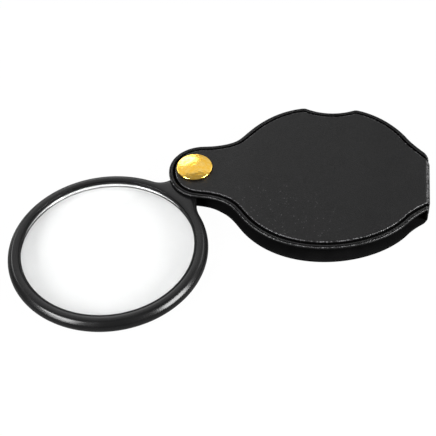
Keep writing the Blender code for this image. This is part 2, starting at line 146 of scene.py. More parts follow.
# Marks on the outer face: the middle's inset, or its turn round the fold in
# radians, then the width of the fade, where it starts, and the strength.
# The shoulder, rim and fold marks are wear and painted highlight: they make the cover
# lighter along those edges, standing in for the light they catch.
SHOULDER_WEAR_AND_HIGHLIGHT = (2.07, 0.09, 1.6, 1.0)
RIM_WEAR_AND_HIGHLIGHT = (0.22, 0.12, 1.3, 0.8)
BEAD_BURNISH = (0.8, 0.22, 1.3, 1.0)
FOLD_WEAR_AND_HIGHLIGHT = (0.7, 0.45, 1.5, 0.9)
INNER_SECTION = (
    (0.02, 0.75),
    (0.08, 0.81),
    (0.2, 0.845),
    (0.4, 0.85),
    (1.2, 0.85),
    (2.12, 0.85),
    (2.2, 0.8),
    (2.2, 0.45),
    (2.26, 0.4),
    (2.7, 0.4),
)
LINING_SECTION = (
    (2.7, 0.9),
    (1.4, 0.9),
    (0.5, 0.9),
    (0.22, 0.91),
    (0.1, 0.96),
    (0.06, 1.03),
    (0.1, 1.1),
    (0.22, 1.145),
    (0.5, 1.15),
    (1.4, 1.15),
    (2.7, 1.15),
)


# ------------------------------------------------------------------- arm sizes
def middle_of(node):
    low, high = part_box(node)
    return (low + high) / (2 * MM)


lens_place = middle_of("lens")
SPAN = math.hypot(lens_place.x, lens_place.y)
ARM_TURN = Matrix.Rotation(math.atan2(lens_place.y, lens_place.x), 4, "Z")
RING_MIDDLE_Z = lens_place.z
RING_RADIUS = 28.4
RING_HALF = 2.0
HUB_RADIUS = 5.7
HUB_HALF = 1.8
WIDE_FILLET = 11.0
TIGHT_FILLET = 4.7
BORE_RADIUS = 1.9
# The arm thins from this far inside the ring's edge, over this length.
THIN_FROM = 1.5
THIN_OVER = 6.0
HUB_POINTS = 40
TIGHT_POINTS = 24
RING_POINTS = 400
WIDE_POINTS = 40
RING_STEPS = 320
ARM_STEP = 0.55
ARM_GRID = 1.1
# The arm's outer edge: distance in from the outline, share of the half height.
ARM_EDGE = (
    (1.9, 1.0),
    (1.62, 0.993),
    (1.4, 0.968),
    (1.22, 0.925),
    (1.05, 0.865),
    (0.88, 0.787),
    (0.71, 0.707),
    (0.54, 0.625),
    (0.38, 0.54),
    (0.25, 0.45),
    (0.14, 0.35),
    (0.06, 0.23),
    (0.015, 0.1),
    (0.0, -0.03),
    (0.02, -0.18),
    (0.08, -0.34),
    (0.18, -0.48),
    (0.34, -0.62),
    (0.55, -0.75),
    (0.8, -0.855),
    (1.1, -0.93),
    (1.45, -0.98),
    (1.9, -1.0),
)
# The ring's inside and the retainer: radius and height above the ring's middle.
RING_INSIDE = (
    (26.1, 1.995),
    (25.9, 1.985),
    (25.7, 1.97),
    (25.5, 1.95),
    (25.32, 1.925),
    (25.22, 1.9),
    (25.17, 1.86),
    (25.16, 1.8),
    (25.16, 1.68),
    (25.35, 1.62),
    (25.35, 1.35),
    (25.1, 1.35),
    (25.1, -1.35),
    (24.8, -1.42),
    (24.8, -1.6),
    (24.84, -1.68),
    (24.93, -1.76),
    (25.07, -1.83),
    (25.27, -1.89),
    (25.6, -1.95),
    (26.0, -1.98),
    (26.3, -1.99),
)
RETAINER = (
    (24.98, 1.76),
    (25.06, 1.74),
    (25.1, 1.71),
    (25.11, 1.67),
    (25.29, 1.59),
    (25.3, 1.39),
    (24.5, 1.41),
    (24.49, 1.6),
    (24.52, 1.67),
    (24.6, 1.72),
    (24.72, 1.75),
    (24.86, 1.765),
)
LENS_RADIUS = 25.0
LENS_EDGE = 2.6
LENS_CENTRE = 3.9
LENS_BANDS = 48

# ----------------------------------------------------------------- rivet sizes
RIVET_STEPS = 160
CAP_ROLL = 0.3
CAP_RISE = 0.42
CAP_POWER = 2.2
CAP_BANDS = 24
CAP_STEPS = 16
CAP_MOUTH = 4.1
CAP_SHEET = 0.2
SEAT_HOLE = 4.65
BASE_SHEET = 0.15
BASE_FLAT = 0.5
BASE_ROLL = (0.18, 0.16)
BASE_STEPS = 8
# The turned-up rim: distance in from the edge and down from the top.
BASE_RIM = ((0.0, 0.06), (0.05, 0.0), (0.2, 0.0), (0.25, 0.04))
BASE_WALL = 0.25
SAME_POINT = 1e-5
SLIVER = 1e-6

# The patch of the upper cover that has gathered dust, in metres.
DUSTY_CORNER = (0.024, -0.022, 0.007)

# ---------------------------------------------------------------------- studio
# The floor's place and half its side, in metres.
FLOOR_Z = -0.00003
FLOOR_SIDE = 2.0
# Its colour to the camera and through the lens, and to all other light.
FLOOR_WHITE = (0.25, 0.25, 0.25, 1.0)
FLOOR_GREY = (0.2, 0.2, 0.2, 1.0)
# Its glow, as a backlit table has, and the share of it that shows.
FLOOR_GLOW = 1.03
GLOW_THROUGH_LENS = 0.42
GLOW_IN_VIEW = 0.95
WORLD_STRENGTH = 2.0
# Brightness of the room by the sine of the elevation, behind and in front, and
# the span of Y over which the one turns into the other.
WORLD_BACK = (
    (0.0, 0.03),
    (0.25, 0.12),
    (0.55, 0.4),
    (0.81, 0.47),
    (0.86, 0.2),
    (0.93, 0.18),
    (1.0, 0.24),
)
WORLD_FRONT = ((0.0, 0.1), (0.5, 0.14), (0.8, 0.2), (1.0, 0.1))
WORLD_TURN = (-0.3, 0.4)
# The even level that the lens shows past the floor, so that no dark wall stands
# in it, and a round lamp on the back wall: direction, cosines and level.
WORLD_IN_LENS = (0.5, 0.5, 0.5, 1.0)
WORLD_SPOT = (-0.255, 0.799, 0.544)
SPOT_EDGE = 0.983
SPOT_CORE = 0.995
SPOT_LEVEL = 2.3
# Name, place and target in metres, width, height and power in watts.
SOFTBOXES = (
    ("left_front", (-0.334, -0.306, 0.33), (-0.01, -0.02, 0.0), 0.27, 0.18, 5.3),
    ("right_side", (0.465, -0.147, 0.27), (0.0, -0.02, 0.0), 0.28, 0.18, 5.8),
    ("back_left", (-0.437, 0.232, 0.263), (0.0, 0.0, 0.0), 0.3, 0.18, 0.7),
    ("back_right", (0.367, 0.331, 0.25), (0.0, 0.0, 0.0), 0.3, 0.18, 0.5),
)
# Sensor and lens in millimetres, clip range in metres, angles in radians.
CAMERA_SENSOR = 36.0
CAMERA_LENS = 101.911
CAMERA_CLIP = (0.01, 10.0)
CAMERA_HEADING = 0.152135
CAMERA_PITCH = 0.8323
CAMERA_ROLL = -0.0632
CAMERA_DISTANCE = 360.06
CAMERA_TARGET = (8.1, -13.5, 0.0)


# ------------------------------------------------------------------- utilities
def smooth(t):
    t = min(max(t, 0.0), 1.0)
    return t * t * (3.0 - 2.0 * t)


def bezier_point(controls, t):
    s = 1.0 - t
    weights = (s * s * s, 3 * s * s * t, 3 * s * t * t, t * t * t)
    x = sum(w * point[0] for w, point in zip(weights, controls))
    y = sum(w * point[1] for w, point in zip(weights, controls))
    return x, y


def arc_points(x, y, radius, start, end, steps, rise=None):
    """Points on an arc between two angles in degrees, rise its upright radius."""
    if rise is None:
        rise = radius
    points = []
    for step in range(steps + 1):
        angle = math.radians(start + (end - start) * step / steps)
        points.append((x + radius * math.cos(angle), y + rise * math.sin(angle)))
    return points


def circle_points(x, y, radius, steps):
    points = []
    for step in range(steps):
        angle = 2 * math.pi * step / steps
        points.append((x + radius * math.cos(angle), y + radius * math.sin(angle)))
    return points


def side_points(keys):
    """A side's outline through its keys."""
    points = [(keys[0][0], keys[0][1])]
    for before, after in zip(keys, keys[1:]):
        x0, y0, heading0, _, reach0 = before
        x1, y1, heading1, reach1, _ = after
        out = math.radians(heading0)
        into = math.radians(heading1)
        handle0 = (x0 + reach0 * math.cos(out), y0 + reach0 * math.sin(out))
        handle1 = (x1 - reach1 * math.cos(into), y1 - reach1 * math.sin(into))
        controls = ((x0, y0), handle0, handle1, (x1, y1))
        for step in range(1, CURVE_STEPS + 1):
            points.append(bezier_point(controls, step / CURVE_STEPS))
    return points


def y_at(points, x):
    """Height of a side's outline at x, searched from the fold's end."""
    for (x0, y0), (x1, y1) in zip(points[-2::-1], points[:0:-1]):
        if x0 <= x <= x1:
            return y0 + (y1 - y0) * (x - x0) / (x1 - x0)
    return points[-1][1]


def top_height(x):
    """Height of the upper cover's outer face at x."""
    height = TOP_KEYS[0][1]
    for (x0, height0), (x1, height1) in zip(TOP_KEYS, TOP_KEYS[1:]):
        height += (height1 - height0) * smooth((x - x0) / (x1 - x0))
    return height


def resample(points, spacing):
    """The same line with evenly spaced points."""
    lengths = [0.0]
    for a, b in zip(points, points[1:]):
        lengths.append(lengths[-1] + math.dist(a, b))
    count = max(2, round(lengths[-1] / spacing))
    out = []
    k = 0
    for i in range(count + 1):
        target = lengths[-1] * i / count
        while k < len(points) - 2 and lengths[k + 1] < target:
            k += 1
        span = lengths[k + 1] - lengths[k] or 1.0
        t = (target - lengths[k]) / span
        a, b = points[k], points[k + 1]
        out.append((a[0] + (b[0] - a[0]) * t, a[1] + (b[1] - a[1]) * t))
    return out


def relax(values, passes):
    """Evens out a list of tuples, keeping its two ends."""
    for _ in range(passes):
        new = [values[0]]
        for a, b, c in zip(values, values[1:], values[2:]):
            new.append(tuple((p + 2 * q + r) / 4 for p, q, r in zip(a, b, c)))
        new.append(values[-1])
        values = new
    return values


def bridge(builder, a, b):
    """A closed band of faces between two rings of as many vertices."""
    faces = []
    for i in range(len(a)):
        faces.append(builder.faces.new((a[i - 1], a[i], b[i], b[i - 1])))
    return faces


def mesh_object(name, builder, body, smooth_degrees=60.0):
    """Closes a bmesh into an object in metres that rides on a body."""
    bmesh.ops.recalc_face_normals(builder, faces=builder.faces)
    mesh = bpy.data.meshes.new(name)
    builder.to_mesh(mesh)
    builder.free()
    mesh.transform(Matrix.Scale(MM, 4))
    mesh.shade_smooth()
    mesh.set_sharp_from_angle(angle=math.radians(smooth_degrees))
    obj = bpy.data.objects.new(name, mesh)
    bpy.context.scene.collection.objects.link(obj)
    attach(obj, body)
    return obj


# ---------------------------------------------------------------- sleeve sheet
def cover_sides(upper):
    """Both sides of one cover's outline, as dense point lists with y upward."""
    plain = PLAIN_SIDE
    if upper:
        lobe = []
        for key, gain in zip(PLAIN_SIDE, LOBE_GAIN):
            lobe.append(tuple(value + more for value, more in zip(key, gain)))
        plain = tuple(lobe) + PLAIN_SIDE[len(LOBE_GAIN) :]
    return side_points(plain), notched_points()


def notched_points():
    """The notched side's outline, with the arc of the finger notch let in."""
    points = side_points(NOTCHED_SIDE)
    centre_y = NOTCH_DEEPEST_Y + NOTCH_RADIUS
    inside = []
    for i, (x, y) in enumerate(points):
        if math.hypot(x - NOTCH_X, y - centre_y) < NOTCH_RADIUS:
            inside.append(i)
    first, last = inside[0], inside[-1]
    start = math.atan2(points[first][1] - centre_y, points[first][0] - NOTCH_X)
    end = math.atan2(points[last][1] - centre_y, points[last][0] - NOTCH_X)
    arc = []
    for step in range(NOTCH_STEPS + 1):
        angle = start + (end - start) * step / NOTCH_STEPS
        x = NOTCH_X + NOTCH_RADIUS * math.cos(angle)
        arc.append((x, centre_y + NOTCH_RADIUS * math.sin(angle)))
    return points[:first] + arc + points[last + 1 :]


def bend_xs():
    """The x of each row of the fold's bend."""
    xs = []
    for row in range(1, BEND_ROWS + 1):
        xs.append(BEND_X + FOLD_CORNER * math.sin(math.pi / 2 * row / BEND_ROWS))
    return xs


def cover_spokes(upper):
    """Outline points of a cover with their inward spokes, plain side first.

    Each spoke is (x, y, step x, step y): the outline moved in by d is at
    x + d * step x and y + d * step y. Past the bend the spokes run straight
    across the sleeve, so that every row of the fold keeps its own x.
    """
    plain, notched = cover_sides(upper)
    outline = []
    for side, sign in ((plain, -1.0), (notched, 1.0)):
        kept = [point for point in side if point[0] < BEND_X]
        kept.append((BEND_X, y_at(side, BEND_X)))
        half = [(x, sign * y) for x, y in kept]
        if sign < 0:
            half.reverse()
            outline = half
        else:
            outline = outline + half[1:]
    outline = relax(resample(outline, SPOKE), OUTLINE_PASSES)
    normals = []
    for i in range(len(outline)):
        a = outline[max(i - 1, 0)]
        b = outline[min(i + 1, len(outline) - 1)]
        dx, dy = b[0] - a[0], b[1] - a[1]
        length = math.hypot(dx, dy)
        normals.append((dy / length, -dx / length))
    wide = relax(normals, WIDE_PASSES)
    near = relax(normals, NEAR_PASSES)
    spokes = []
    for (x, y), broad, local in zip(outline, wide, near):
        share = smooth((x - SQUARE_FROM) / (BEND_X - SQUARE_FROM))
        across = -1.0 if y > 0 else 1.0
        ex = broad[0] * (1 - share)
        ey = broad[1] * (1 - share) + across * share
        length = math.hypot(ex, ey)
        ex, ey = ex / length, ey / length
        along = max(ex * local[0] + ey * local[1], LEAST_COSINE)
        reach = math.hypot(*local) / along
        spokes.append((x, y, ex * reach, ey * reach))
    before = []
    after = []
    for x in bend_xs():
        for side, sign, rows in ((plain, -1.0, before), (notched, 1.0, after)):
            y = y_at(side, x)
            slope = (y_at(side, x - EDGE_STEP) - y) / EDGE_STEP
            rows.append((x, sign * y, 0.0, -sign * math.hypot(1.0, slope)))
    before.reverse()
    return before, spokes, after


def on_cover(x, y, depth, upper):
    """The point at a depth below a cover's outer face, round the fold's bend."""
    if x <= BEND_X:
        if not upper:
            return x, y, depth
        rise = top_height(x + SLOPE_STEP) - top_height(x - SLOPE_STEP)
        slope = rise / (2 * SLOPE_STEP)
        length = math.hypot(1.0, slope)
        return x + depth * slope / length, y, top_height(x) - depth / length
    turn = math.asin(min((x - BEND_X) / FOLD_CORNER, 1.0))
    radius = FOLD_CORNER - depth
    rise = radius * math.cos(turn)
    if upper:
        return BEND_X + radius * math.sin(turn), y, LUG_TOP - FOLD_CORNER + rise
    return BEND_X + radius * math.sin(turn), y, FOLD_CORNER - rise


def wall_points(y_from, y_to, depth, downward):
    """Points on the fold's upright wall between the two bends, ends left out."""
    points = []
    for step in range(1, WALL_ROWS):
        share = step / WALL_ROWS
        fall = share if downward else 1.0 - share
        z = LUG_TOP - FOLD_CORNER - (LUG_TOP - 2 * FOLD_CORNER) * fall
        points.append((FOLD_X - depth, y_from + (y_to - y_from) * share, z))
    return points


def cover_row(spoke_sets, inset, depth, upper):
    """A cover's outline moved in by the inset and down to a depth."""
    before, spokes, after = spoke_sets
    row = []
    for x, y, ex, ey in before + spokes + after:
        row.append(on_cover(x + inset * ex, y + inset * ey, depth, upper))
    return row


def mark(place, middle, width, reach, strength):
    """How strong a soft-edged mark is at a place."""
    return strength * smooth(reach - abs(place - middle) / width)


def mark_fold(builder, worn_and_highlight):
    """Marks wear and painted highlight on the two corners of the fold."""
    for vert in builder.verts:
        x, _, z = vert.co
        on_wall = FOLD_CORNER < z < LUG_TOP - FOLD_CORNER
        if x > BEND_X and not on_wall:
            turn = math.asin(min((x - BEND_X) / FOLD_CORNER, 1.0))
            vert[worn_and_highlight] = max(vert[worn_and_highlight], mark(turn, *FOLD_WEAR_AND_HIGHLIGHT))


def in_crease(row):
    """True if a row of the section lies in one of the creases."""
    inset, depth = row
    return any(low < inset < high and depth > least for low, high, least in CREASES)


def folded_sheet(section, holes, marked_rows=0):
    """A folded sheet from its edge section, with a round hole in each cover.

    The first marked rows are the outer face's: they carry its wear, which is also
    painted highlight. Its creases and everything past it take the sheet's second
    material, near-black painted shade.
    """
    builder = bmesh.new()
    worn_and_highlight = builder.verts.layers.float.new("worn_and_highlight")
    burnished = builder.verts.layers.float.new("burnished")
    upper_spokes = cover_spokes(True)
    lower_spokes = cover_spokes(False)
    loops = []
    for inset, depth in section:
        top = cover_row(upper_spokes, inset, depth, True)
        low = cover_row(lower_spokes, inset, depth, False)
        low.reverse()
        down = wall_points(top[-1][1], low[0][1], depth, True)
        up = wall_points(low[-1][1], top[0][1], depth, False)
        loop = [builder.verts.new(p) for p in top + down + low + up]
        if len(loops) < marked_rows:
            # Wear along the shoulder and rim, which also paints a highlight there.
            for vert in loop:
                vert[worn_and_highlight] = max(mark(inset, *SHOULDER_WEAR_AND_HIGHLIGHT), mark(inset, *RIM_WEAR_AND_HIGHLIGHT))
                vert[burnished] = mark(inset, *BEAD_BURNISH)
        loops.append(loop)
    for k, (a, b) in enumerate(zip(loops, loops[1:])):
        # Faces in the creases and inside the mouth take the second material: painted
        # shade.
        creased = in_crease(section[k]) and in_crease(section[k + 1])
        dark = creased or k >= marked_rows - 1
        for face in bridge(builder, a, b):
            face.material_index = int(marked_rows > 0 and dark)
    top_count = len(upper_spokes[1]) + 2 * BEND_ROWS
    low_count = len(lower_spokes[1]) + 2 * BEND_ROWS
    rings = []
    for loop, (_, depth) in ((loops[0], section[0]), (loops[-1], section[-1])):
        rings.append(fill_sheet(builder, loop, top_count, low_count, depth, holes))
    for outer, inner in zip(*rings):
        bridge(builder, outer, inner)
    if marked_rows > 0:
        mark_fold(builder, worn_and_highlight)
    return builder


def fill_sheet(builder, loop, top_count, low_count, depth, holes):
    """Fills one face of the sheet; gives back the rims of its two holes."""
    top = loop[:top_count]
    low_start = top_count + WALL_ROWS - 1
    low = loop[low_start : low_start + low_count]
    down = loop[top_count:low_start]
    up = loop[low_start + low_count :]
    last = BEND_ROWS + 1
    near = top[:last][::-1] + up[::-1] + low[-last:][::-1]
    far = top[-last:] + down + low[:last]
    rows = []
    for a, b in zip(near, far):
        row = [a]
        for step in range(1, ACROSS):
            row.append(builder.verts.new(a.co.lerp(b.co, step / ACROSS)))
        rows.append(row + [b])
    for a, b in zip(rows, rows[1:]):
        for i in range(ACROSS):
            builder.faces.new((a[i], a[i + 1], b[i + 1], b[i]))
    top_ring = top[BEND_ROWS:-BEND_ROWS] + rows[0][1:-1][::-1]
    low_ring = low[BEND_ROWS:-BEND_ROWS] + rows[-1][1:-1]

    def on_top(x, y):
        return on_cover(x, y, depth, True)

    def on_low(x, y):
        return on_cover(x, y, depth, False)

    return (
        fill_plate(builder, top_ring, [(0.0, 0.0, holes[0])], on_top, PLATE_GRID),
        fill_plate(builder, low_ring, [(0.0, 0.0, holes[1])], on_low, PLATE_GRID),
    )


def in_holes(x, y, holes, margin):
    """True if a point is in a hole or nearer to one than the margin."""
    for hole_x, hole_y, radius in holes:
        if math.hypot(x - hole_x, y - hole_y) < radius + margin:
            return True
    return False


def fill_plate(builder, ring, holes, surface, spacing, rims=()):
    """Triangles inside a ring of vertices, clear of round holes.

    Each hole is (x, y, radius) and gets a new rim, unless rims already gives
    the vertices round a hole. The last hole's rim is given back.
    """
    verts = list(ring)
    loops = [range(len(ring))]
    rim = None
    for rim in rims:
        loops.append(range(len(verts), len(verts) + len(rim)))
        verts += rim
    for x, y, radius in holes[len(rims) :]:
        rim = []
        for point in circle_points(x, y, radius, HOLE_STEPS):
            rim.append(builder.verts.new(surface(*point)))
        loops.append(range(len(verts), len(verts) + HOLE_STEPS))
        verts += rim
    border = [(v.co.x, v.co.y) for v in ring]
    xs = [p[0] for p in border]
    ys = [p[1] for p in border]
    columns = int((max(xs) - min(xs)) / spacing)
    lines = int((max(ys) - min(ys)) / spacing)
    for i in range(columns):
        for j in range(lines):
            x = min(xs) + spacing * (i + 0.5 + 0.5 * (j % 2))
            y = min(ys) + spacing * (j + 0.5)
            if in_holes(x, y, holes, spacing / 2):
                continue
            if well_inside(x, y, border, spacing / 2):
                verts.append(builder.verts.new(surface(x, y)))
    plan = [Vector((v.co.x, v.co.y)) for v in verts]
    edges = []
    for loop in loops:
        for k in range(len(loop)):
            edges.append((loop[k - 1], loop[k]))
    places, _, faces, origins, _, _ = delaunay_2d_cdt(plan, edges, [], 1, 1e-7)
    for face in faces:
        middle = sum((places[i] for i in face), Vector((0.0, 0.0))) / len(face)
        if not in_holes(middle.x, middle.y, holes, 0.0):
            builder.faces.new([verts[origins[i][0]] for i in face])
    return rim


def well_inside(x, y, border, margin):
    """True if a point is inside a border and at least margin from its points."""
    inside = False
    for i in range(len(border)):
        ax, ay = border[i - 1]
        bx, by = border[i]
        if (ay > y) != (by > y):
            if x < ax + (y - ay) * (bx - ax) / (by - ay):
                inside = not inside
    if not inside:
        return False
    for bx, by in border:
        if abs(bx - x) < margin and abs(by - y) < margin:
            return False
    return True


# -------------------------------------------------------------------- lens arm
def neck_fillet(radius):
    """Centre of a fillet between hub and ring, and its angles seen from both."""
    to_hub = HUB_RADIUS + radius
    to_ring = RING_RADIUS + radius
    x = (to_hub**2 - to_ring**2 + SPAN**2) / (2 * SPAN)
    y = math.sqrt(to_hub**2 - x**2)
    at_hub = math.degrees(math.atan2(y, x))
    at_ring = math.degrees(math.atan2(y, SPAN - x))
    return x, y, at_hub, at_ring


def arm_outline():
    """The arm in plan along +X: hub, tight side of the neck, ring, wide side."""
    wide_x, wide_y, wide_hub, wide_ring = neck_fillet(WIDE_FILLET)
    tight_x, tight_y, tight_hub, tight_ring = neck_fillet(TIGHT_FILLET)
    start, end = wide_hub, 360 - tight_hub
    hub = arc_points(0, 0, HUB_RADIUS, start, end, HUB_POINTS)
    start, end = 180 - tight_hub, tight_ring
    tight = arc_points(tight_x, -tight_y, TIGHT_FILLET, start, end, TIGHT_POINTS)
    start, end = 180 + tight_ring, 540 - wide_ring
    ring = arc_points(SPAN, 0, RING_RADIUS, start, end, RING_POINTS)
    start, end = -wide_ring, wide_hub - 180
    wide = arc_points(wide_x, wide_y, WIDE_FILLET, start, end, WIDE_POINTS)
    return resample(hub + tight[1:] + ring[1:] + wide[1:], ARM_STEP)[:-1]


def arm_half_height(x, y):
    """The arm thins a little from the ring's thickness to the hub's."""
    away = math.hypot(x - SPAN, y)
    share = smooth((away - RING_RADIUS + THIN_FROM) / THIN_OVER)
    return RING_HALF + (HUB_HALF - RING_HALF) * share


def make_lens_frame():
    """The ring with its seat and groove, and the arm and hub, in one moulding."""
    builder = bmesh.new()
    outline = arm_outline()
    count = len(outline)
    inward = []
    for i in range(count):
        ax, ay = outline[i - 1]
        bx, by = outline[(i + 1) % count]
        length = math.dist((ax, ay), (bx, by))
        inward.append(((ay - by) / length, (bx - ax) / length))
    loops = []
    for inset, share in ARM_EDGE:
        loop = []
        for (x, y), (nx, ny) in zip(outline, inward):
            px, py = x + nx * inset, y + ny * inset
            z = RING_MIDDLE_Z + arm_half_height(px, py) * share
            loop.append(builder.verts.new((px, py, z)))
        loops.append(loop)
    for a, b in zip(loops, loops[1:]):
        bridge(builder, a, b)
    circles = []
    for radius, height in RING_INSIDE:
        circle = []
        for x, y in circle_points(SPAN, 0.0, radius, RING_STEPS):
            circle.append(builder.verts.new((x, y, RING_MIDDLE_Z + height)))
        circles.append(circle)
    for a, b in zip(circles, circles[1:]):
        bridge(builder, a, b)
    rims = []
    for loop, circle, sign, key in (
        (loops[0], circles[0], 1.0, RING_INSIDE[0]),
        (loops[-1], circles[-1], -1.0, RING_INSIDE[-1]),
    ):

        def face(x, y, sign=sign):
            return x, y, RING_MIDDLE_Z + sign * arm_half_height(x, y)

        holes = [(SPAN, 0.0, key[0]), (0.0, 0.0, BORE_RADIUS)]
        rims.append(fill_plate(builder, loop, holes, face, ARM_GRID, [circle]))
    bridge(builder, *rims)
    builder.transform(ARM_TURN)
    return mesh_object("lens_frame_moulding", builder, "lens_arm", 50.0)


# ---------------------------------------------------------------- turned parts
def turned(name, profile, steps, centre, body, smooth_degrees=50.0):
    """A profile of radius and height turned about an upright axis."""
    builder = bmesh.new()
    columns = []
    for step in range(steps):
        angle = 2 * math.pi * step / steps
        column = []
        for radius, height in profile:
            x, y = radius * math.cos(angle), radius * math.sin(angle)
            column.append(builder.verts.new((centre[0] + x, centre[1] + y, height)))
        columns.append(column)
    count = len(profile)
    for i in range(steps):
        a, b = columns[i - 1], columns[i]
        for k in range(count):
            m = (k + 1) % count
            if profile[k][0] > 0.0 or profile[m][0] > 0.0:
                builder.faces.new((a[k], b[k], b[m], a[m]))
    bmesh.ops.remove_doubles(builder, verts=builder.verts, dist=SAME_POINT)
    bmesh.ops.dissolve_degenerate(builder, edges=builder.edges, dist=SLIVER)
    return mesh_object(name, builder, body, smooth_degrees)


def make_lens():
    """The lens, with two equal spherical faces and a plain edge."""
    bulge = (LENS_CENTRE - LENS_EDGE) / 2
    bend = (LENS_RADIUS**2 + bulge**2) / (2 * bulge)
    face = []
    for step in range(LENS_BANDS + 1):
        radius = LENS_RADIUS * step / LENS_BANDS
        face.append((radius, LENS_CENTRE / 2 - bend + math.sqrt(bend**2 - radius**2)))
    profile = [(radius, RING_MIDDLE_Z + height) for radius, height in face]
    profile += [(radius, RING_MIDDLE_Z - height) for radius, height in reversed(face)]
    return turned("lens_glass", profile, RING_STEPS, lens_place, "lens_arm", 40.0)


def make_retainer():
    profile = [(radius, RING_MIDDLE_Z + height) for radius, height in RETAINER]
    return turned("retaining_ring", profile, RING_STEPS, lens_place, "lens_arm", 60.0)


def make_rivet_cap():
    """The pressed cap: a flat dome, a rolled edge, and its hollow underside."""
    low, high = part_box("rivet_cap")
    bottom, top, outer = low.z / MM, high.z / MM, high.x / MM
    shoulder = outer - CAP_ROLL
    edge = top - CAP_RISE
    profile = []
    for step in range(CAP_BANDS + 1):
        share = step / CAP_BANDS
        profile.append((shoulder * share, top - CAP_RISE * share**CAP_POWER))
    middle, rise = (edge + bottom) / 2, (edge - bottom) / 2
    profile += arc_points(shoulder, middle, CAP_ROLL, 90, -90, CAP_STEPS, rise)[1:]
    profile += [(CAP_MOUTH, bottom), (CAP_MOUTH, bottom + CAP_SHEET)]
    profile += [(shoulder - CAP_SHEET, bottom + CAP_SHEET)]
    for step in reversed(range(CAP_BANDS)):
        share = step / CAP_BANDS
        height = top - CAP_SHEET - CAP_RISE * share**CAP_POWER
        profile.append(((shoulder - CAP_SHEET) * share, height))
    return turned("rivet_dome", profile, RIVET_STEPS, (0, 0), "sleeve", 40.0)


def make_rivet_base():
    """The flat lower cap: a shallow dish whose turned-up rim holds the post."""
    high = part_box("rivet_base")[1]
    outer, top = high.x / MM, high.z / MM
    reach, rise = BASE_ROLL
    profile = [(0.0, 0.0), (outer - BASE_FLAT, 0.0)]
    profile += arc_points(outer - reach, rise, reach, -90, 0, BASE_STEPS, rise)
    profile += [(outer - inset, top - drop) for inset, drop in BASE_RIM]
    profile += [(outer - BASE_WALL, BASE_SHEET), (0.0, BASE_SHEET)]
    return turned("rivet_back", profile, RIVET_STEPS, (0, 0), "sleeve", 40.0)


# ------------------------------------------------------------------- materials
def add(tree, kind, inputs=None, **attributes):
    """A shader node, its settings, and its inputs as values or links."""
    made = tree.nodes.new(kind)
    for key, value in attributes.items():
        setattr(made, key, value)
    for key, value in (inputs or {}).items():
        if isinstance(value, bpy.types.NodeSocket):
            tree.links.new(value, made.inputs[key])
        else:
            made.inputs[key].default_value = value
    return made


def new_material(name, **values):
    """A material with its tree, its shader and the object's coordinates."""
    material = bpy.data.materials.new(name)
    material.use_nodes = True
    tree = material.node_tree
    shader = tree.nodes["Principled BSDF"]
    for key, value in values.items():
        shader.inputs[key.replace("_", " ")].default_value = value
    place = add(tree, "ShaderNodeTexCoord").outputs["Object"]
    return material, tree, shader, place


def noise(tree, place, scale, detail=3.0, rough=0.5, warp=0.0):
    inputs = {
        "Vector": place,
        "Scale": scale,
        "Detail": detail,
        "Roughness": rough,
        "Distortion": warp,
    }
    return add(tree, "ShaderNodeTexNoise", inputs)


def cells(tree, place, scale, feature="DISTANCE_TO_EDGE"):
    inputs = {"Vector": place, "Scale": scale}
    made = add(tree, "ShaderNodeTexVoronoi", inputs, feature=feature)
    return made.outputs["Distance"]


def map_range(tree, value, low, high, to_low, to_high):
    inputs = {
        "Value": value,
        "From Min": low,
        "From Max": high,
        "To Min": to_low,
        "To Max": to_high,
    }
    return add(tree, "ShaderNodeMapRange", inputs).outputs["Result"]


def maths(tree, operation, a, b):
    made = add(tree, "ShaderNodeMath", {0: a, 1: b}, operation=operation)
    return made.outputs["Value"]


def vector_maths(tree, operation, inputs, output="Vector"):
    made = add(tree, "ShaderNodeVectorMath", inputs, operation=operation)
    return made.outputs[output]


def tint(tree, value, stops):
    """A colour ramp of (position, colour) stops."""
    made = add(tree, "ShaderNodeValToRGB", {"Fac": value})
    ramp = made.color_ramp
    while len(ramp.elements) < len(stops):
        ramp.elements.new(0.5)
    for element, (position, colour) in zip(ramp.elements, stops):
        element.position = position
        element.color = (*colour, 1.0)
    return made.outputs["Color"]


def warped(tree, place, scale, amount):
    """Coordinates pushed about by a soft noise, amount in metres."""
    push = noise(tree, place, scale, 2.0).outputs["Color"]
    middle = (0.5, 0.5, 0.5)
    push = vector_maths(tree, "SUBTRACT", {0: push, 1: middle})
    push = vector_maths(tree, "SCALE", {0: push, "Scale": amount})
    return vector_maths(tree, "ADD", {0: place, 1: push})


def paint(tree, shader, colour, rough):
    tree.links.new(colour, shader.inputs["Base Color"])
    tree.links.new(rough, shader.inputs["Roughness"])


def show(tree, surface):
    """Makes a shader node the material's surface."""
    output = tree.nodes["Material Output"]
    tree.links.new(surface.outputs["Shader"], output.inputs["Surface"])


def add_bump(tree, shader, height, strength, distance):
    inputs = {"Height": height, "Strength": strength, "Distance": distance}
    bump = add(tree, "ShaderNodeBump", inputs)
    tree.links.new(bump.outputs["Normal"], shader.inputs["Normal"])


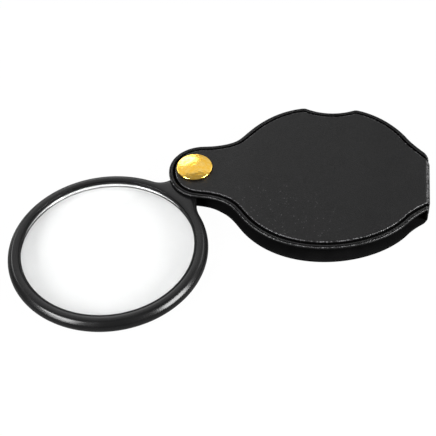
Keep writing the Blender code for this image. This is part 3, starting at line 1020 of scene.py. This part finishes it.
def leatherette():
    """Black coated sheet: pebbled grain, matt creases, shiny edges whose colour is
    also lightened as painted highlight.
    """
    material, tree, shader, place = new_material("leatherette", IOR=1.28)
    pebbles = cells(tree, warped(tree, place, 900.0, 0.0005), 1900.0)
    pebbles = map_range(tree, pebbles, 0.0, 0.22, 0.0, 1.0)
    fine = noise(tree, place, 5200.0, 2.0).outputs["Fac"]
    broad = noise(tree, place, 70.0, 4.0, 0.6).outputs["Fac"]
    height = maths(tree, "ADD", pebbles, maths(tree, "MULTIPLY", fine, 0.6))
    add_bump(tree, shader, height, 0.6, 0.00003)
    worn_and_highlight = add(tree, "ShaderNodeAttribute", attribute_name="worn_and_highlight")
    patchy = noise(tree, place, 1500.0).outputs["Fac"]
    patchy = map_range(tree, patchy, 0.4, 0.6, 0.5, 1.0)
    # Edge marks: wear that lowers the roughness, and painted highlight where it
    # lightens the colour.
    rubbed_and_highlight = maths(tree, "MULTIPLY", pebbles, patchy)
    rubbed_and_highlight = maths(tree, "MULTIPLY", worn_and_highlight.outputs["Fac"], rubbed_and_highlight)
    corner = {0: place, 1: DUSTY_CORNER}
    away = vector_maths(tree, "DISTANCE", corner, "Value")
    dusty = map_range(tree, away, 0.008, 0.03, 1.0, 0.12)
    dust = cells(tree, place, 1500.0, "F1")
    dust = map_range(tree, dust, 0.1, 0.2, 1.0, 0.0)
    sparse = noise(tree, place, 900.0).outputs["Fac"]
    sparse = map_range(tree, sparse, 0.42, 0.6, 0.0, 1.0)
    dust = maths(tree, "MULTIPLY", maths(tree, "MULTIPLY", dust, sparse), dusty)
    tone = maths(tree, "MULTIPLY", pebbles, 0.3)
    tone = maths(tree, "ADD", tone, maths(tree, "MULTIPLY", broad, 0.45))
    tone = maths(tree, "ADD", tone, maths(tree, "MULTIPLY", dust, 0.75))
    # Painted highlight as well as wear: the marked edges lift the colour towards the
    # top stop.
    tone = maths(tree, "ADD", tone, maths(tree, "MULTIPLY", rubbed_and_highlight, 0.9))
    stops = (
        (0.0, (0.0004, 0.0004, 0.0004)),
        (0.2, (0.0022, 0.0022, 0.0023)),
        (0.7, (0.005, 0.005, 0.0052)),
        (1.0, (0.1, 0.1, 0.102)),
    )
    rough = map_range(tree, broad, 0.3, 0.7, 0.36, 0.45)
    rough = maths(tree, "SUBTRACT", rough, maths(tree, "MULTIPLY", rubbed_and_highlight, 0.28))
    burnished = add(tree, "ShaderNodeAttribute", attribute_name="burnished")
    pressed = maths(tree, "MULTIPLY", burnished.outputs["Fac"], 0.24)
    rough = maths(tree, "SUBTRACT", rough, pressed)
    paint(tree, shader, tint(tree, tone, stops), rough)
    return material


def crease_painted_shade():
    """Painted shade: near-black sheet without shine for the pinched creases inside the
    weld and the inside of the sleeve's mouth, faintly mottled.
    """
    material, tree, shader, place = new_material("crease_painted_shade", IOR=1.07)
    mottle = noise(tree, warped(tree, place, 500.0, 0.001), 1300.0, 4.0, 0.6)
    mottle = mottle.outputs["Fac"]
    stops = ((0.3, (0.0002, 0.0002, 0.0002)), (0.7, (0.0008, 0.0008, 0.0008)))
    rough = map_range(tree, mottle, 0.3, 0.7, 0.8, 0.95)
    paint(tree, shader, tint(tree, mottle, stops), rough)
    add_bump(tree, shader, mottle, 0.3, 0.00003)
    return material


def lining_sheet():
    """Matt black sheet with the print of a plain weave."""
    material, tree, shader, place = new_material("lining_sheet", IOR=1.16)
    waves = []
    for direction in ("X", "Y"):
        inputs = {"Vector": place, "Scale": 420.0, "Distortion": 0.6, "Detail": 1.0}
        wave = add(tree, "ShaderNodeTexWave", inputs, bands_direction=direction)
        waves.append(wave.outputs["Fac"])
    weave = maths(tree, "MULTIPLY", waves[0], waves[1])
    add_bump(tree, shader, weave, 0.4, 0.00004)
    tone = noise(tree, place, 240.0, 5.0, 0.6).outputs["Fac"]
    stops = ((0.3, (0.0009, 0.0009, 0.001)), (0.7, (0.002, 0.002, 0.0021)))
    rough = map_range(tree, tone, 0.3, 0.7, 0.72, 0.88)
    paint(tree, shader, tint(tree, tone, stops), rough)
    return material


def grey_board():
    """Raw pulp board with stray fibres."""
    material, tree, shader, place = new_material("grey_board", IOR=1.35)
    fibres = noise(tree, warped(tree, place, 300.0, 0.002), 1400.0, 4.0, 0.7)
    specks = cells(tree, place, 700.0, "F1")
    tone = maths(tree, "MULTIPLY", fibres.outputs["Fac"], specks)
    tone = map_range(tree, tone, 0.05, 0.45, 0.0, 1.0)
    stops = ((0.0, (0.16, 0.155, 0.14)), (1.0, (0.31, 0.3, 0.27)))
    add_bump(tree, shader, fibres.outputs["Fac"], 0.6, 0.00008)
    rough = map_range(tree, tone, 0.0, 1.0, 0.95, 0.82)
    paint(tree, shader, tint(tree, tone, stops), rough)
    return material


def black_plastic():
    """Satin moulded plastic: faint mould texture, flow marks and fine rubs."""
    material, tree, shader, place = new_material("black_plastic", IOR=1.35)
    mould = noise(tree, place, 2600.0, 3.0, 0.6).outputs["Fac"]
    flow = noise(tree, warped(tree, place, 60.0, 0.01), 110.0, 3.0, 0.5).outputs["Fac"]
    rubs = noise(tree, warped(tree, place, 25.0, 0.03), 420.0, 2.0, 0.4, 4.0)
    rubs = map_range(tree, rubs.outputs["Fac"], 0.66, 0.72, 0.0, 1.0)
    height = maths(tree, "ADD", mould, maths(tree, "MULTIPLY", flow, 0.8))
    add_bump(tree, shader, height, 0.22, 0.00002)
    tone = maths(tree, "ADD", flow, maths(tree, "MULTIPLY", rubs, 0.25))
    stops = ((0.3, (0.0022, 0.0022, 0.0023)), (0.9, (0.004, 0.004, 0.0042)))
    rough = map_range(tree, tone, 0.3, 0.85, 0.22, 0.3)
    paint(tree, shader, tint(tree, tone, stops), rough)
    return material


def ring_plastic():
    """The snap ring's smoother black plastic."""
    material, tree, shader, place = new_material("ring_plastic", IOR=1.25)
    tone = noise(tree, warped(tree, place, 200.0, 0.002), 500.0, 3.0).outputs["Fac"]
    stops = ((0.3, (0.002, 0.002, 0.0021)), (0.7, (0.004, 0.004, 0.0042)))
    rough = map_range(tree, tone, 0.3, 0.7, 0.4, 0.5)
    paint(tree, shader, tint(tree, tone, stops), rough)
    add_bump(tree, shader, tone, 0.1, 0.00002)
    return material


def clear_glass():
    """Clear lens glass with faint wipe marks; lamps shine straight through."""
    material, tree, shader, place = new_material(
        "clear_glass", IOR=1.5, Transmission_Weight=1.0
    )
    wipes = noise(tree, warped(tree, place, 40.0, 0.02), 260.0, 4.0, 0.6, 2.0)
    wipes = map_range(tree, wipes.outputs["Fac"], 0.45, 0.75, 0.0, 0.035)
    stops = ((0.0, (0.985, 0.99, 0.99)), (1.0, (0.97, 0.98, 0.98)))
    smears = map_range(tree, wipes, 0.0, 0.035, 0.0, 1.0)
    paint(tree, shader, tint(tree, smears, stops), wipes)
    clear = add(tree, "ShaderNodeBsdfTransparent", {"Color": (0.97, 0.97, 0.97, 1.0)})
    path = add(tree, "ShaderNodeLightPath")
    inputs = {
        "Fac": path.outputs["Is Shadow Ray"],
        1: shader.outputs["BSDF"],
        2: clear.outputs["BSDF"],
    }
    show(tree, add(tree, "ShaderNodeMixShader", inputs))
    return material


def washer_plastic():
    """Natural nylon, faintly mottled."""
    material, tree, shader, place = new_material("washer_plastic", IOR=1.5)
    tone = noise(tree, place, 600.0, 4.0, 0.6).outputs["Fac"]
    stops = ((0.3, (0.55, 0.53, 0.48)), (0.7, (0.66, 0.64, 0.59)))
    rough = map_range(tree, tone, 0.3, 0.7, 0.38, 0.55)
    paint(tree, shader, tint(tree, tone, stops), rough)
    add_bump(tree, shader, tone, 0.2, 0.00002)
    return material


def brass(name, pale, deep, rough_low, rough_high, dents):
    """Brass with a soft waviness, hairline rubs and slightly uneven colour."""
    material, tree, shader, place = new_material(name, Metallic=1.0, IOR=1.45)
    waves = noise(tree, place, 1100.0, 2.0, 0.4).outputs["Fac"]
    hair = noise(tree, warped(tree, place, 500.0, 0.002), 2500.0, 3.0, 0.7)
    hair = hair.outputs["Fac"]
    height = maths(tree, "ADD", waves, maths(tree, "MULTIPLY", hair, 0.12))
    add_bump(tree, shader, height, dents, 0.00008)
    stops = ((0.3, deep), (0.65, pale))
    rough = map_range(tree, hair, 0.3, 0.7, rough_low, rough_high)
    paint(tree, shader, tint(tree, waves, stops), rough)
    return material


# ------------------------------------------------------------------- the parts
def dress(piece, material):
    """Gives a piece its material."""
    piece.data.materials.append(material)


def make_object():
    gilt = brass("gilt_brass", (1.0, 0.65, 0.15), (1.0, 0.56, 0.05), 0.08, 0.13, 0.5)
    plain = brass("plain_brass", (0.75, 0.57, 0.27), (0.66, 0.48, 0.2), 0.3, 0.42, 0.5)

    cover = mesh_object(
        "leatherette_cover",
        folded_sheet(
            OUTER_SECTION + INNER_SECTION,
            (BORE_RADIUS, SEAT_HOLE),
            len(OUTER_SECTION),
        ),
        "sleeve",
    )
    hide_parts("case_skin")
    dress(cover, leatherette())
    # Second material: near-black painted shade for the creases and the mouth.
    cover.data.materials.append(crease_painted_shade())

    lining = mesh_object(
        "sleeve_lining",
        folded_sheet(LINING_SECTION, (BORE_RADIUS, BORE_RADIUS)),
        "sleeve",
    )
    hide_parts("case_lining")
    dress(lining, lining_sheet())

    arm = make_lens_frame()
    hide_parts("lens_frame")
    dress(arm, black_plastic())

    lens = make_lens()
    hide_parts("lens")
    dress(lens, clear_glass())

    retainer = make_retainer()
    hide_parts("lens_retainer")
    dress(retainer, ring_plastic())

    cap = make_rivet_cap()
    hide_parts("rivet_cap")
    dress(cap, gilt)

    base = make_rivet_base()
    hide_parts("rivet_base")
    dress(base, gilt)

    board = grey_board()
    nylon = washer_plastic()
    kept = (
        ("upper_stiffener", board),
        ("lower_stiffener", board),
        ("upper_washer", nylon),
        ("lower_washer", nylon),
        ("rivet_socket", plain),
        ("rivet_post", plain),
    )
    for name, material in kept:
        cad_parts[name].material_slots[0].material = material


# ---------------------------------------------------------------------- studio
def make_floor():
    """White paper that glows to the camera, and is grey to all other light."""
    mesh = bpy.data.meshes.new("floor")
    corners = []
    for x, y in ((-1, -1), (1, -1), (1, 1), (-1, 1)):
        corners.append((x * FLOOR_SIDE, y * FLOOR_SIDE, FLOOR_Z))
    mesh.from_pydata(corners, [], [(0, 1, 2, 3)])
    floor = bpy.data.objects.new("floor", mesh)
    bpy.context.scene.collection.objects.link(floor)
    material, tree, shader, _ = new_material("floor_white", Roughness=1.0)
    shader.inputs["Base Color"].default_value = FLOOR_GREY
    shader.inputs["Specular IOR Level"].default_value = 0.0
    white = add(tree, "ShaderNodeBsdfDiffuse", {"Color": FLOOR_WHITE})
    glow = add(tree, "ShaderNodeEmission", {"Strength": FLOOR_GLOW})
    path = add(tree, "ShaderNodeLightPath")
    in_view = path.outputs["Is Camera Ray"]
    seen = maths(tree, "MAXIMUM", in_view, path.outputs["Is Transmission Ray"])
    share = map_range(tree, in_view, 0.0, 1.0, GLOW_THROUGH_LENS, GLOW_IN_VIEW)
    inputs = {"Fac": share, 1: white.outputs["BSDF"], 2: glow.outputs["Emission"]}
    paper = add(tree, "ShaderNodeMixShader", inputs)
    inputs = {"Fac": seen, 1: shader.outputs["BSDF"], 2: paper.outputs["Shader"]}
    show(tree, add(tree, "ShaderNodeMixShader", inputs))
    mesh.materials.append(material)


def make_world():
    """A grey room, bright low down behind the object and dim overhead."""
    world = bpy.data.worlds.new("studio")
    bpy.context.scene.world = world
    world.use_nodes = True
    tree = world.node_tree
    place = add(tree, "ShaderNodeTexCoord").outputs["Generated"]
    parts = add(tree, "ShaderNodeSeparateXYZ", {"Vector": place})
    halves = []
    for levels in (WORLD_FRONT, WORLD_BACK):
        stops = [(height, (level, level, level)) for height, level in levels]
        halves.append(tint(tree, parts.outputs["Z"], stops))
    share = map_range(tree, parts.outputs["Y"], *WORLD_TURN, 0.0, 1.0)
    inputs = {"Fac": share, "Color1": halves[0], "Color2": halves[1]}
    mixed = add(tree, "ShaderNodeMixRGB", inputs)
    aim = vector_maths(tree, "DOT_PRODUCT", {0: place, 1: WORLD_SPOT}, "Value")
    spot = map_range(tree, aim, SPOT_EDGE, SPOT_CORE, 0.0, SPOT_LEVEL)
    total = vector_maths(tree, "ADD", {0: mixed.outputs["Color"], 1: spot})
    path = add(tree, "ShaderNodeLightPath")
    inputs = {
        "Fac": path.outputs["Is Transmission Ray"],
        "Color1": total,
        "Color2": WORLD_IN_LENS,
    }
    seen = add(tree, "ShaderNodeMixRGB", inputs)
    background = tree.nodes["Background"]
    tree.links.new(seen.outputs["Color"], background.inputs["Color"])
    background.inputs["Strength"].default_value = WORLD_STRENGTH


def make_softbox(name, place, target, width, height, power):
    light = bpy.data.lights.new(name, "AREA")
    light.shape = "RECTANGLE"
    light.size = width
    light.size_y = height
    light.energy = power
    lamp = bpy.data.objects.new(name, light)
    lamp.location = place
    aim = Vector(target) - Vector(place)
    lamp.rotation_euler = aim.to_track_quat("-Z", "Y").to_euler()
    bpy.context.scene.collection.objects.link(lamp)


def make_camera():
    camera = bpy.data.cameras.new("camera")
    camera.sensor_width = CAMERA_SENSOR
    camera.lens = CAMERA_LENS
    camera.clip_start, camera.clip_end = CAMERA_CLIP
    right = Vector((math.cos(CAMERA_HEADING), math.sin(CAMERA_HEADING), 0.0))
    ahead = Vector((-right.y, right.x, 0.0)) * math.cos(CAMERA_PITCH)
    ahead.z = -math.sin(CAMERA_PITCH)
    up = right.cross(ahead)
    turned_right = right * math.cos(CAMERA_ROLL) + up * math.sin(CAMERA_ROLL)
    turned_up = up * math.cos(CAMERA_ROLL) - right * math.sin(CAMERA_ROLL)
    place = (Vector(CAMERA_TARGET) - ahead * CAMERA_DISTANCE) * MM
    columns = Matrix((turned_right, turned_up, -ahead)).transposed()
    holder = bpy.data.objects.new("camera", camera)
    holder.matrix_world = Matrix.Translation(place) @ columns.to_4x4()
    bpy.context.scene.collection.objects.link(holder)
    bpy.context.scene.camera = holder


make_object()
make_floor()
make_world()
for softbox in SOFTBOXES:
    make_softbox(*softbox)
make_camera()
bpy.context.scene.view_settings.view_transform = "Standard"

bpy.context.view_layer.update()
